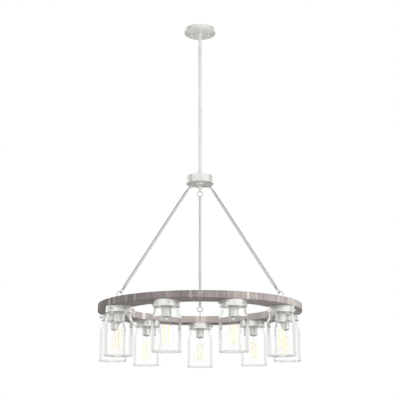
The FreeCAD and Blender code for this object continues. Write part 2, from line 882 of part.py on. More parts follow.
save("wood_ring", [wood_ring()])
save("ring_eyes", at_each_rod(ring_eye()))
one_cap = jar_cap()
one_jar = glass_jar()
for number in range(light_count):
    save("jar_cap_" + str(number + 1), [at_light(one_cap, number)])
    save("glass_jar_" + str(number + 1), [at_light(one_jar, number)])
save("cap_screws", at_each_light(cap_screws()))
save("thumbscrews", at_each_light(thumbscrews()))
save("socket_cups", at_each_light([socket_cup()]))
save("lampholders", at_each_light([lampholder()]))
save("holder_nuts", at_each_light([holder_nut()]))
save("bulb_bases", at_each_light([bulb_base()]))
save("bulb_glasses", at_each_light([bulb_glass()]))
save("bulb_mounts", at_each_light([bulb_mount()]))
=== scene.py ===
import json
import math

import bmesh
import bpy
from mathutils import Matrix, Vector


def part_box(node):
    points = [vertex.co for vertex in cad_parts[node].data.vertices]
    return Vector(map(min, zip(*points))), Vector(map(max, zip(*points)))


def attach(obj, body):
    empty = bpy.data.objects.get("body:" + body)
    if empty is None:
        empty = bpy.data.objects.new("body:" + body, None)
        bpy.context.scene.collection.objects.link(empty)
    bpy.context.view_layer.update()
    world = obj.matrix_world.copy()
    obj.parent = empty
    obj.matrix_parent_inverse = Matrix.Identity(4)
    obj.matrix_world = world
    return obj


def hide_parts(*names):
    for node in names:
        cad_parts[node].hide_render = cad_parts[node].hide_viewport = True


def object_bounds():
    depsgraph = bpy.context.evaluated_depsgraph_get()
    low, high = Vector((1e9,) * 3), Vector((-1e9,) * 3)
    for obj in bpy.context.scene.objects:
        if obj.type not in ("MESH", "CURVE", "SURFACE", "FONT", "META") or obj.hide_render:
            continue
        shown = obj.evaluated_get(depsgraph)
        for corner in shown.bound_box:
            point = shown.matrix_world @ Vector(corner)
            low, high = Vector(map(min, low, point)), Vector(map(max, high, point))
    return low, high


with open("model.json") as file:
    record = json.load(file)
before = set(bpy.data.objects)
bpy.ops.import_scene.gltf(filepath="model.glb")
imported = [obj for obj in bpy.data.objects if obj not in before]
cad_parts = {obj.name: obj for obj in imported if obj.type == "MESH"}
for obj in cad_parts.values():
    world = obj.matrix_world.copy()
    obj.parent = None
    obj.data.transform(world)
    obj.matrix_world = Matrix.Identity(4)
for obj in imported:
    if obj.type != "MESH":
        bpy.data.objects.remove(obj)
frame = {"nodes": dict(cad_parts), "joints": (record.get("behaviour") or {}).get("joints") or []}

cad_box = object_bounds()


# The crossbar: two zinc-plated steel straps, riveted crosswise and screwed to the box in the ceiling.
# It carries the ball swivel's load, the green ground screw and the two studs for the canopy.

mm = 0.001
zinc_colour = (0.42, 0.43, 0.45, 1.0)
zinc_light = (0.66, 0.67, 0.68, 1.0)
zinc_roughness = 0.3
zinc_spangle_roughness = 0.15
zinc_wear_roughness = 0.1
ground_green = (0.02, 0.19, 0.05, 1.0)
ground_worn = (0.3, 0.42, 0.3, 1.0)
ground_wear = (0.62, 0.7)


class Signal:
    """A node's socket that Python sums can use."""

    def __init__(self, tree, socket):
        self.tree = tree
        self.socket = socket

    def maths(self, operation, *others):
        return self.tree.add("ShaderNodeMath", {"operation": operation}, dict(enumerate((self, *others))))

    def __add__(self, other):
        return self.maths("ADD", other)

    def __sub__(self, other):
        return self.maths("SUBTRACT", other)

    def __rsub__(self, other):
        return self.tree.add("ShaderNodeMath", {"operation": "SUBTRACT"}, {0: other, 1: self})

    def __mul__(self, other):
        return self.maths("MULTIPLY", other)

    def __truediv__(self, other):
        return self.maths("DIVIDE", other)

    __radd__ = __add__
    __rmul__ = __mul__


class Tree:
    """A node tree, and the one method that adds a node: its settings first, then its sockets."""

    def __init__(self, nodes):
        self.nodes = nodes

    def add(self, kind, settings=None, inputs=None, output=0):
        node = self.nodes.nodes.new(kind)
        for key, value in (settings or {}).items():
            setattr(node, key, value)
        for key, value in (inputs or {}).items():
            if isinstance(value, Signal):
                self.nodes.links.new(value.socket, node.inputs[key])
            else:
                node.inputs[key].default_value = value
        return Signal(self, node.outputs[output])

    def split(self, vector):
        """The three parts of a vector."""
        node = self.add("ShaderNodeSeparateXYZ", None, {0: vector}).socket.node
        return [Signal(self, output) for output in node.outputs]

    def joined(self, x, y, z):
        return self.add("ShaderNodeCombineXYZ", None, {0: x, 1: y, 2: z})

    def sum(self, operation, vector, other, output=0):
        """A sum with vectors. SCALE takes a number."""
        key = "Scale" if operation == "SCALE" else 1
        return self.add("ShaderNodeVectorMath", {"operation": operation}, {0: vector, key: other}, output)

    def length(self, vector):
        return self.sum("LENGTH", vector, (0, 0, 0), "Value")

    def rise(self, signal, low, high):
        """A share that goes smoothly from 0 to 1 as a signal goes from low to high."""
        inputs = {0: signal, 1: low, 2: high}
        return self.add("ShaderNodeMapRange", {"interpolation_type": "SMOOTHSTEP"}, inputs)

    def fade(self, signal, low, high):
        """A share that goes smoothly from 1 to 0 as a signal goes from low to high."""
        return 1 - self.rise(signal, low, high)


class Finish(Tree):
    """A material made of one Principled shader and what feeds it."""

    def __init__(self, name, colour, **constants):
        self.material = bpy.data.materials.new(name)
        self.material.use_nodes = True
        self.material.diffuse_color = colour
        super().__init__(self.material.node_tree)
        self.shader = self.nodes.nodes["Principled BSDF"]
        for key, value in dict(constants, Base_Color=colour).items():
            self.shader.inputs[key.replace("_", " ")].default_value = value

    def feed(self, **signals):
        for key, signal in signals.items():
            self.nodes.links.new(signal.socket, self.shader.inputs[key.replace("_", " ")])

    def place(self, stretch=(1, 1, 1)):
        """Object coordinates, stretched along each axis."""
        return self.sum("MULTIPLY", self.add("ShaderNodeTexCoord", output="Object"), stretch)

    def noise(self, vector=None, scale=1.0, detail=3.0, roughness=0.5):
        """Noise over a vector, or else over the object's coordinates."""
        vector = vector or self.place()
        inputs = {"Vector": vector, "Scale": scale, "Detail": detail, "Roughness": roughness}
        return self.add("ShaderNodeTexNoise", None, inputs, "Fac")

    def between(self, share, low, high):
        """A colour between two others, by a share from 0 to 1."""
        return self.add("ShaderNodeMix", {"data_type": "RGBA"}, {0: share, 6: low, 7: high}, 2)

    def bump(self, height, strength, depth):
        inputs = {"Strength": strength, "Distance": depth, "Height": height}
        self.feed(Normal=self.add("ShaderNodeBump", None, inputs))


def zinc_plate():
    """Dull zinc in faint crystals, worn in clouds."""
    finish = Finish("zinc_plate", zinc_colour, Metallic=1.0)
    cells = {"Vector": finish.place(), "Scale": 160.0}
    spangle = finish.add("ShaderNodeTexVoronoi", None, cells, "Color")
    grey = finish.add("ShaderNodeRGBToBW", None, {0: spangle})
    wear = finish.noise(scale=40.0)
    finish.feed(
        Base_Color=finish.between((grey + wear) / 2, zinc_colour, zinc_light),
        Roughness=zinc_roughness + grey * zinc_spangle_roughness + wear * zinc_wear_roughness,
    )
    return finish.material


def green_paint():
    """Green paint, chipped in specks."""
    finish = Finish("green_paint", ground_green, Roughness=0.35, Coat_Weight=0.3)
    worn = finish.rise(finish.noise(scale=900.0), *ground_wear)
    finish.feed(Base_Color=finish.between(worn, ground_green, ground_worn))
    return finish.material


def dress(material, *names):
    """Gives CAD nodes their material."""
    for name in names:
        frame["nodes"][name].data.materials.clear()
        frame["nodes"][name].data.materials.append(material)


zinc = zinc_plate()
dress(zinc, "box_strap", "canopy_strap", "strap_rivet", "canopy_studs", "stem_nipples")
dress(zinc, "hub_locknuts", "hub_eye_nuts", "holder_nuts", "cap_screws")
dress(green_paint(), "ground_screw")


# The canopy: a shallow cup of sheet steel, pressed with a step in its floor, plated and brushed.
# It hides the ceiling box, and two round knobs on the crossbar's studs hold it up.
# Most of the metal below it has the same plating, with its fine lines round each piece.

canopy_low, canopy_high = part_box("canopy")
canopy_rim_bottom = -15.5 * mm
canopy_corner = 3 * mm
canopy_step_outer = 66 * mm
canopy_step_inner = 56 * mm
canopy_step_bend = 3 * mm
canopy_flat = 28 * mm
canopy_flat_bend = 24 * mm
canopy_dome = 0.6 * mm
canopy_slope = 0.3 * mm
canopy_hole = 15.55 * mm
sheet = 1.2 * mm
soft_edge = 0.4 * mm
fillet_share = 0.45
round_sides = 144
sharp_angle = math.radians(40)
weld_distance = 0.002 * mm
back_bearing = 90.0
nickel_dark = (0.87, 0.878, 0.835, 1.0)
nickel_light = (0.99, 0.995, 0.955, 1.0)
nickel_roughness = 0.24
brush_line_rate = 1300.0
brush_line_share = 0.6
brush_line_roughness = 0.08
brush_wander = (50, 50, 50)
cloud_roughness = 0.06


def brushed_nickel(name, dark, light):
    """Satin nickel: fine lines round each turned piece, faint clouds, and a low bump from the lines."""
    finish = Finish(name, light, Metallic=0.9, Anisotropic=0.75, Anisotropic_Rotation=0.25)
    turned_at = finish.add("ShaderNodeAttribute", {"attribute_name": "turned"}, None, "Vector")
    across = finish.sum("SCALE", turned_at, brush_line_rate)
    lines = finish.noise(finish.sum("ADD", across, finish.place(brush_wander)), detail=2.0)
    cloud = finish.noise(scale=22.0)
    finish.feed(
        Base_Color=finish.between(lines * brush_line_share + cloud * (1 - brush_line_share), dark, light),
        Roughness=nickel_roughness + lines * brush_line_roughness + cloud * cloud_roughness,
    )
    finish.bump(lines, strength=0.06, depth=0.02 * mm)
    return finish.material


class Form(Tree):
    """A Geometry Nodes tree that takes a piece's mesh, named inputs and a material."""

    def __init__(self, name, **sockets):
        super().__init__(bpy.data.node_groups.new(name, "GeometryNodeTree"))
        self.nodes.is_modifier = True
        face = self.nodes.interface
        face.new_socket("Geometry", in_out="INPUT", socket_type="NodeSocketGeometry")
        self.keys = {}
        for key, kind in dict(sockets, Material="Material").items():
            made = face.new_socket(key, in_out="INPUT", socket_type="NodeSocket" + kind)
            self.keys[key] = made.identifier
        face.new_socket("Geometry", in_out="OUTPUT", socket_type="NodeSocketGeometry")
        self.source = self.nodes.nodes.new("NodeGroupInput")
        self.sink = self.nodes.nodes.new("NodeGroupOutput")

    def given(self, key):
        return Signal(self, self.source.outputs[key])

    def close(self, geometry):
        """Ends the tree in plain, smooth faces with their material."""
        plain = self.add("GeometryNodeRealizeInstances", None, {0: geometry})
        smooth = self.add("GeometryNodeSetShadeSmooth", None, {0: plain})
        inputs = {"Geometry": smooth, "Material": self.given("Material")}
        ended = self.add("GeometryNodeSetMaterial", None, inputs)
        self.nodes.links.new(ended.socket, self.sink.inputs[0])

    def spots(self, copies, radius, height, first):
        """Even points round the Z axis, and the angle of each."""
        turn = self.add("GeometryNodeInputIndex") * (2 * math.pi) / copies + first
        spot = self.joined(radius * turn.maths("COSINE"), radius * turn.maths("SINE"), height)
        return self.add("GeometryNodePoints", None, {"Count": copies, "Position": spot}), turn

    def shape(self, piece, **values):
        """Bakes this form of a piece to a plain mesh with its faces pointing out."""
        modifier = piece.modifiers.new("form", "NODES")
        modifier.node_group = self.nodes
        for key, value in values.items():
            modifier[self.keys[key]] = value
        bpy.context.view_layer.update()
        shaped = piece.evaluated_get(bpy.context.evaluated_depsgraph_get())
        plain = bpy.data.meshes.new_from_object(shaped)
        piece.modifiers.clear()
        piece.data = plain
        skin = bmesh.new()
        skin.from_mesh(plain)
        bmesh.ops.remove_doubles(skin, verts=skin.verts, dist=weld_distance)
        bmesh.ops.recalc_face_normals(skin, faces=skin.faces)
        skin.to_mesh(plain)
        skin.free()
        plain.set_sharp_from_angle(angle=sharp_angle)
        plain.materials.clear()
        plain.materials.append(values["Material"])
        plain.polygons.foreach_set("material_index", [0] * len(plain.polygons))
        return piece


def lathe_form():
    """An outline turned about the Z axis. The outline's Y says how deep its flutes are."""
    form = Form("lathe", Sides="Int", Flutes="Float", Flute_Depth="Float")
    outline = form.given("Geometry")
    count = form.add("GeometryNodeAttributeDomainSize", None, {0: outline})
    sides = form.given("Sides")
    grid = form.add("GeometryNodeMeshGrid", None, {"Vertices X": sides + 1, "Vertices Y": count})
    index = form.add("GeometryNodeInputIndex")
    column = (index / count).maths("FLOOR")
    spot = form.add("GeometryNodeInputPosition")
    inputs = {"Geometry": outline, "Value": spot, "Index": index - column * count}
    picked = form.add("GeometryNodeSampleIndex", {"data_type": "FLOAT_VECTOR"}, inputs)
    radius, fluted, height = form.split(picked)
    angle = column * (2 * math.pi) / sides
    wave = (angle * form.given("Flutes")).maths("COSINE")
    radius = radius - fluted * form.given("Flute_Depth") * (1 - wave)
    place = form.joined(radius * angle.maths("COSINE"), radius * angle.maths("SINE"), height)
    body = form.add("GeometryNodeSetPosition", None, {"Geometry": grid, "Position": place})
    inputs = {"Geometry": body, "Name": "turned", "Value": form.joined(radius, 0.0, height)}
    form.close(form.add("GeometryNodeStoreNamedAttribute", {"data_type": "FLOAT_VECTOR"}, inputs))
    return form


def around_form():
    """A piece tipped about X, leaned about Y, and set out in even copies round the Z axis."""
    kinds = dict.fromkeys(("Radius", "Height", "First", "Tip", "Lean"), "Float")
    form = Form("around", Copies="Int", **kinds)
    points, turn = form.spots(*(form.given(key) for key in ("Copies", "Radius", "Height", "First")))
    posed = form.joined(form.given("Tip"), form.given("Lean"), turn)
    inputs = {"Points": points, "Instance": form.given("Geometry"), "Rotation": posed}
    form.close(form.add("GeometryNodeInstanceOnPoints", None, inputs))
    return form


def arc(centre_radius, centre_height, radius, start, end, steps=12):
    """Points of an arc in an outline, between two angles in degrees."""
    turns = [math.radians(start + (end - start) * step / steps) for step in range(steps + 1)]
    return [(centre_radius + radius * math.cos(a), centre_height + radius * math.sin(a), 0) for a in turns]


def rounded(corners, closed=True, steps=4):
    """An outline with its corners filleted. A corner is (radius, height) or (radius, height, fillet)."""
    places = [Vector((corner[0], 0, corner[1])) for corner in corners]
    outline = []
    for number, corner in enumerate(corners):
        bend = corner[2] if len(corner) > 2 else soft_edge
        if bend == 0 or (not closed and number in (0, len(corners) - 1)):
            outline.append(places[number])
            continue
        back = places[number - 1] - places[number]
        on = places[(number + 1) % len(places)] - places[number]
        half = back.angle(on) / 2
        reach = min(bend / math.tan(half), fillet_share * back.length, fillet_share * on.length)
        start = places[number] + back.normalized() * reach
        end = places[number] + on.normalized() * reach
        for step in range(steps + 1):
            t = step / steps
            outline.append(start * (1 - t) ** 2 + places[number] * 2 * t * (1 - t) + end * t**2)
    if closed:
        outline.append(outline[0])
    return outline


lathe = lathe_form()
around = around_form()


def placed(name, data):
    """A new object in the scene."""
    made = bpy.data.objects.new(name, data)
    bpy.context.scene.collection.objects.link(made)
    return made


def turned(name, outline, material, sides=round_sides, flutes=0, depth=0.0):
    """A piece turned from an outline of points, their Y being how much they are fluted."""
    mesh = bpy.data.meshes.new(name)
    mesh.from_pydata(outline, [(n, n + 1) for n in range(len(outline) - 1)], [])
    piece = placed(name, mesh)
    return lathe.shape(piece, Sides=sides, Flutes=float(flutes), Flute_Depth=depth, Material=material)


def set_out(piece, copies=1, radius=0.0, height=0.0, first=back_bearing, tip=0.0, lean=0.0):
    """Sets a piece round the main axis. Angles are in degrees."""
    degrees = {"First": first, "Tip": tip, "Lean": lean}
    turns = {key: math.radians(value) for key, value in degrees.items()}
    material = piece.data.materials[0]
    return around.shape(piece, Copies=copies, Radius=radius, Height=height, Material=material, **turns)


def merged(piece, *others):
    """One piece with the meshes of several."""
    skin = bmesh.new()
    for one in (piece, *others):
        skin.from_mesh(one.data)
    skin.to_mesh(piece.data)
    skin.free()
    for one in others:
        bpy.data.objects.remove(one)
    return piece


def fit_out(piece, body, node):
    """Sets a finished piece on its body, in the place of a CAD node."""
    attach(piece, body)
    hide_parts(node)


canopy_outline = rounded(
    [
        (canopy_high.x, 0),
        (canopy_high.x, canopy_rim_bottom, canopy_corner),
        (canopy_step_outer, canopy_rim_bottom - canopy_slope, canopy_step_bend),
        (canopy_step_inner, canopy_low.z + canopy_dome, canopy_step_bend),
        (canopy_flat, canopy_low.z, canopy_flat_bend),
        (canopy_hole, canopy_low.z),
        (canopy_hole, canopy_low.z + sheet),
        (canopy_step_inner - sheet / 2, canopy_low.z + canopy_dome + sheet, canopy_step_bend),
        (canopy_step_outer - sheet / 2, canopy_rim_bottom - canopy_slope + sheet, canopy_step_bend),
        (canopy_high.x - sheet, canopy_rim_bottom + sheet, canopy_corner - sheet),
        (canopy_high.x - sheet, 0),
    ]
)
nickel = brushed_nickel("brushed_nickel", nickel_dark, nickel_light)
fit_out(turned("canopy_cup", canopy_outline, nickel), "ceiling", "canopy")


# The two canopy knobs: turned brass, plated like the canopy, with a knurled rim and a domed end.
# Each is threaded blind and screws up a stud against the canopy's floor.

knobs_low, knobs_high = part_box("canopy_knobs")
knob_count = 2
knob_radius = 4.9 * mm
knob_neck = 3.6 * mm
knob_neck_length = 2.5 * mm
knob_dome = 3 * mm
knob_face_share = 0.62
knob_face_rise = 0.9 * mm
knob_face_bend = 3 * mm
stud_radius = 2.08 * mm
stud_reach = 7 * mm
fine_edge = 0.3 * mm
round_edge = 1 * mm
knurl_count = 20
knurl_depth = 0.08 * mm
knob_sides = 6 * knurl_count
knurled_share = 0.9


def knurled(outline, low, high, radius):
    """Marks the points of a rim between two heights for knurling."""
    inner = radius * knurled_share
    return [(x, 1.0 if low < z < high and x > inner else 0.0, z) for x, y, z in outline]


knob_outline = rounded(
    [
        (0, knobs_low.z),
        (knob_radius * knob_face_share, knobs_low.z + knob_face_rise, knob_face_bend),
        (knob_radius, knobs_low.z + knob_dome, round_edge),
        (knob_radius, knobs_high.z - knob_neck_length, fine_edge),
        (knob_neck, knobs_high.z - knob_neck_length),
        (knob_neck, knobs_high.z),
        (stud_radius, knobs_high.z),
        (stud_radius, knobs_high.z - stud_reach),
        (0, knobs_high.z - stud_reach),
    ],
    closed=False,
)
knob_rim = (knobs_low.z + knob_dome, knobs_high.z - knob_neck_length)
knob_outline = knurled(knob_outline, *knob_rim, knob_radius)
knobs = turned("canopy_knob_pair", knob_outline, nickel, knob_sides, knurl_count, knurl_depth)
set_out(knobs, knob_count, knobs_high.x - knob_radius, first=0)
fit_out(knobs, "ceiling", "canopy_knobs")


# The ball swivel: a plated steel ball, bored and threaded for the stem, in a moulded nylon seat.
# The seat turns in the canopy's hole, and the ball leans in the seat on a sloped ceiling.

ball_low, ball_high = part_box("swivel_ball")
ball_radius = ball_high.x
ball_centre = -12 * mm
ball_steps = 24
pipe_radius = 5.2 * mm
nylon_colour = (0.8, 0.8, 0.76, 1.0)
nylon_pale = (0.9, 0.9, 0.87, 1.0)


def nylon():
    """Milky nylon with the fine grain of its mould."""
    finish = Finish("moulded_nylon", nylon_colour, Roughness=0.45, Subsurface_Weight=0.1)
    cloud = finish.noise(scale=90.0)
    finish.feed(Base_Color=finish.between(cloud, nylon_colour, nylon_pale))
    finish.bump(finish.noise(scale=1500.0), strength=0.2, depth=0.05 * mm)
    return finish.material


dress(nylon(), "swivel_seat")
ball_top_turn, ball_bottom_turn = (
    math.degrees(math.asin((height - ball_centre) / ball_radius)) for height in (ball_high.z, ball_low.z)
)
ball_outline = rounded(
    arc(0, ball_centre, ball_radius, ball_top_turn, ball_bottom_turn, ball_steps)
    + [(pipe_radius, ball_low.z, 0), (pipe_radius, ball_high.z, 0)]
)
fit_out(turned("ball", ball_outline, nickel), "stem", "swivel_ball")


# The stem: drawn steel tube in a short section and two long ones, screwed on hidden nipples, plated.
# Each end is chamfered, so that a joint shows as a fine dark line. A collar seats it on the hub.

tube_chamfer = 0.5 * mm


def tube_outline(radius, bore, low, high):
    return rounded([(radius, high, tube_chamfer), (radius, low, tube_chamfer), (bore, low), (bore, high)])


for node in ("stem_top_section", "stem_upper_section", "stem_lower_section", "stem_collar"):
    low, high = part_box(node)
    tube = turned(node.replace("stem", "tube"), tube_outline(high.x, pipe_radius, low.z, high.z), nickel)
    fit_out(tube, "stem", node)


# The hub: a drum drawn from steel sheet, open below, with a plate bolted up inside its mouth.
# The plate holds the three eyes. A turned finial, a disc with a neck and a ball, closes the stem's pipe.

hub_low, hub_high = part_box("hub_shell")
hub_wall = 1.5 * mm
hub_corner = 1.2 * mm
hub_taper = 3 * mm
hub_mouth = hub_high.x - hub_taper
hub_mouth_edge = 0.7 * mm
hub_mouth_inner_edge = 0.5 * mm
plate_low, plate_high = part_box("hub_plate")
# A darker copy of the same nickel, as painted shade: on the plate in the drum's mouth, and on the wire
# loops, tongues and thumbscrews.
shaded_nickel_dark = (0.62, 0.626, 0.595, 1.0)
shaded_nickel_light = (0.76, 0.766, 0.73, 1.0)
finial_low, finial_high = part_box("hub_finial")
finial_disc = 3 * mm
finial_dome = 2.5 * mm
finial_neck = 8 * mm
finial_ball = 11 * mm
finial_ball_centre = finial_low.z + finial_ball
finial_bore_top = finial_high.z - 12 * mm
hub_outline = rounded(
    [
        (pipe_radius, hub_high.z),
        (hub_high.x, hub_high.z, hub_corner),
        (hub_mouth, hub_low.z, hub_mouth_edge),
        (hub_mouth - hub_wall, hub_low.z, hub_mouth_inner_edge),
        (hub_high.x - hub_wall, hub_high.z - hub_wall),
        (pipe_radius, hub_high.z - hub_wall),
    ]
)
fit_out(turned("hub_drum", hub_outline, nickel), "stem", "hub_shell")
plate_outline = tube_outline(plate_high.x, pipe_radius, plate_low.z, plate_high.z)
dull_nickel = brushed_nickel("dull_nickel", shaded_nickel_dark, shaded_nickel_light)
fit_out(turned("hub_floor", plate_outline, dull_nickel), "stem", "hub_plate")
neck_turn = math.degrees(math.acos(finial_neck / finial_ball))
finial_outline = rounded(
    [
        (0, finial_bore_top),
        (pipe_radius, finial_bore_top),
        (pipe_radius, finial_high.z),
        (finial_high.x, finial_high.z),
        (finial_high.x, finial_high.z - finial_disc + finial_dome / 2, round_edge),
        (finial_neck, finial_high.z - finial_disc - finial_dome / 2, round_edge),
    ]
    + arc(0, finial_ball_centre, finial_ball, neck_turn, -90, ball_steps),
    closed=False,
)
fit_out(turned("finial", finial_outline, nickel), "stem", "hub_finial")


# The hub's three eyes: round wire bent to a loop, brazed into a turned collar.
# Each has a threaded shank that goes up through the hub's plate to a nut.

swing = next(joint for joint in frame["joints"] if joint["name"] == "rod_swing_far")
eye_circle = math.hypot(*swing["pos_m"][:2])
eye_height = swing["pos_m"][2]
link_lean = math.degrees(math.atan2(math.hypot(*swing["axis"][:2]), swing["axis"][2]))
rod_lean = link_lean + 90
rod_run = math.sin(math.radians(rod_lean))
rod_fall = -math.cos(math.radians(rod_lean))
hub_eyes_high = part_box("hub_eyes")[1]
wire = 1.75 * mm
eye_count = 3
eye_outer = 14 * mm
eye_root = 0.6 * mm
eye_neck_length = 1 * mm
eye_collar = 4 * mm
eased_edge = 0.6 * mm
eye_shank = 2.4 * mm


def loop(name, outer):
    """A closed ring of round wire about the Z axis."""
    section = rounded(arc(outer - wire, 0, wire, 0, 360, steps=16), closed=False)
    return turned(name, section, dull_nickel, sides=72)


def eyes(name, circle, centre, outline, sides):
    """A set of wire loops, each on its turned collar."""
    loops = set_out(loop(name + "eyelets", eye_outer), eye_count, circle, centre, tip=90)
    collars = turned(name + "eye_collars", outline, nickel, sides)
    return merged(loops, set_out(collars, eye_count, circle))


hub_eye_root = eye_height + eye_outer - eye_root
hub_eye_outline = rounded(
    [
        (0, hub_eye_root),
        (eye_shank, hub_eye_root, fine_edge),
        (eye_collar, hub_eye_root + eye_neck_length, eased_edge),
        (eye_collar, plate_low.z, eased_edge),
        (eye_shank, plate_low.z, 0),
        (eye_shank, hub_eyes_high.z),
        (0, hub_eyes_high.z),
    ],
    closed=False,
)
fit_out(eyes("hub_", eye_circle, eye_height, hub_eye_outline, sides=48), "stem", "hub_eyes")


# The links and the rods: a closed wire link at each end of a plated tube.
# A flat tongue with a round tip is pressed into each end of the tube, and the link goes through its hole.

rods = {"far": 90, "left": 210, "right": 330}  # bearings in degrees
link_outer = 15 * mm
rod_radius = 6.35 * mm
rod_bore = 5.15 * mm
tongue_half = 5.5 * mm
tongue_thickness = 4.5 * mm
tongue_hole = 3 * mm
tongue_reach = 10.5 * mm
tongue_neck = 6 * mm
tongue_plug = 12 * mm
tongue_bevel = 0.5 * mm
tongue_sides = 48
drawn_dark = (0.73, 0.736, 0.7, 1.0)
drawn_light = (0.91, 0.918, 0.88, 1.0)
drawn_nickel = brushed_nickel("drawn_nickel", drawn_dark, drawn_light)
rod_low, rod_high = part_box("rod_tube_far")
rod_length = (rod_high.z - rod_low.z - 2 * rod_radius * rod_run) / rod_fall


def down_line(node):
    """How far down the rod's line, from the middle of its hub eye, the middle of a node is."""
    low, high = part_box(node)
    return (eye_height - (low.z + high.z) / 2) / rod_fall


def hang(piece, distance, side, lean):
    """Puts a piece on a rod's line, leaned from the upright."""
    place = {"radius": eye_circle + rod_run * distance, "height": eye_height - rod_fall * distance}
    return set_out(piece, first=rods[side], lean=lean, **place)


def built(name, skin, material):
    """A piece made of a bmesh."""
    mesh = bpy.data.meshes.new(name)
    bmesh.ops.recalc_face_normals(skin, faces=skin.faces)
    skin.to_mesh(mesh)
    skin.free()
    mesh.shade_smooth()
    mesh.set_sharp_from_angle(angle=sharp_angle)
    mesh.materials.append(material)
    return placed(name, mesh)


def tongue(name):
    """A flat tongue with a cross hole at the origin, its round tip down, its neck and plug up."""
    skin = bmesh.new()
    rims = []
    for y in (-tongue_thickness / 2, tongue_thickness / 2):
        inner, outer = [], []
        for side in range(tongue_sides):
            c, s = (f(2 * math.pi * side / tongue_sides) for f in (math.cos, math.sin))
            reach = tongue_half if s < 0 else tongue_half / max(abs(c), abs(s))
            inner.append(skin.verts.new((tongue_hole * c, y, tongue_hole * s)))
            outer.append(skin.verts.new((reach * c, y, reach * s)))
        rims += [inner, outer]
    for one, other in ((0, 1), (1, 3), (3, 2), (2, 0)):
        for side in range(tongue_sides):
            after = (side + 1) % tongue_sides
            skin.faces.new((rims[one][side], rims[one][after], rims[other][after], rims[other][side]))
    edges = [edge for edge in skin.edges if edge.calc_face_angle() > sharp_angle]
    bmesh.ops.bevel(skin, geom=edges, offset=tongue_bevel, segments=2, affect="EDGES")
    start = tongue_reach - tongue_neck
    plug = [
        (0, start),
        (tongue_half, start, 0),
        (tongue_half, tongue_reach),
        (rod_bore, tongue_reach, 0),
        (rod_bore, tongue_reach + tongue_plug),
        (0, tongue_reach + tongue_plug),
    ]
    shank = turned(name + "_neck", rounded(plug, closed=False), dull_nickel, tongue_sides)
    return merged(built(name, skin, dull_nickel), shank)


rod_outline = tube_outline(rod_radius, rod_bore, -rod_length / 2, rod_length / 2)
for side in rods:
    body = "rod_" + side
    middle = down_line("rod_tube_" + side)
    tube = turned(body + "_tube", rod_outline, drawn_nickel, sides=64)
    fit_out(hang(tube, middle, side, rod_lean), body, "rod_tube_" + side)
    ends = []
    for end, way in (("upper", -1), ("lower", 1)):
        node = end + "_link_" + side
        link = hang(loop(end + "_ring_" + side, link_outer), down_line(node), side, link_lean)
        fit_out(link, body, node)
        hole = middle + way * (rod_length / 2 + tongue_reach)
        ends.append(hang(tongue("tongue_" + end), hole, side, rod_lean + 90 + way * 90))
    fitting = merged(*ends)
    fitting.name = "tongues_" + side
    fit_out(fitting, body, "rod_eyes_" + side)


# The ring: one flat hoop of bent and glued wood, with a grey weathered finish and saw marks across it.
# It is bored for the lights' wires, and carries the nine lights below it and the three eyes above it.

ring_low, ring_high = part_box("wood_ring")
ring_width = 114.3 * mm
ring_inner = ring_high.x - ring_width
ring_edge = 1.2 * mm
ring_sides = 1440
light_count = 9
caps_low, caps_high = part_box("jar_cap_1")
light_circle = (caps_low.y + caps_high.y) / 2
wire_hole = 2.6 * mm
wire_hole_inset = 9.2 * mm
drill_length = 80 * mm
noise_middle = 0.5
wood_dark = (0.2, 0.175, 0.17, 1.0)
wood_mid = (0.43, 0.38, 0.367, 1.0)
wood_light = (0.78, 0.715, 0.67, 1.0)
wood_roughness = 0.65
saw_roughness = 0.2
saw_marks = (75.0, 4.0, 5.0, 0.72)  # rates round the hoop and across it, detail, roughness
fine_marks = (240.0, 12.0, 3.0, 0.6)
grain_lines = (5.0, 260.0, 4.0, 0.6)
patches = (5.0, 3.0, 2.0)
stray_bands = (16.0, 1.5, 1.0)
stray_band_share = (0.58, 0.7)
stray_scratches = (11.0, 420.0, 2.0)
stray_scratch_share = (0.66, 0.74)
pale_bands = (  # bearing and half of the width in degrees, strength
    (140.5, 2.6, 2.2),
    (-147.8, 1.3, 0.9),
    (-107.3, 0.8, 0.7),
    (-90.0, 1.6, 0.8),
    (-75.2, 0.7, 0.5),
    (-72.0, 1.0, 0.8),
    (-64.7, 1.1, 0.8),
    (-56.6, 0.7, 0.8),
)
band_core_share = 0.4
band_wander = 1.4
band_wander_marks = (20.0, 40.0, 2.0)
band_streak_share = (0.55, 0.85)
band_solid_share = 0.4
scratch_bearing = -94.6
scratch_half = 2.6
scratch_core_share = 0.7
scratch_height = ring_low.z + 9.5 * mm
scratch_fade = (0.4 * mm, 1.4 * mm)
scratch_wander = 2 * mm
edge_reach = 3.5 * mm
edge_dark = 0.35
inner_fade = (4 * mm, 12 * mm)
# Painted shade on the hoop's underside: how far up it fades, and how dark it is.
underside_shade_fade = (0.3 * mm, 1.2 * mm)
underside_shade_strength = 0.16
# Painted light: the hoop is paler on the side that faces the lamp.
lamp_side = (0.7, -0.6, 0)
saw_weight = 0.8
mark_weight = 0.3
patch_weight = 0.45
side_light_weight = 0.2
tone_level = 0.565
dark_to_mid = (0.2, 0.7)
mid_to_light = (0.45, 0.8)
light_share = 0.5
band_share = 0.36
level_band_share = 0.2
scratch_share = 0.4
inner_share = 0.52
inner_side_light_share = 0.18


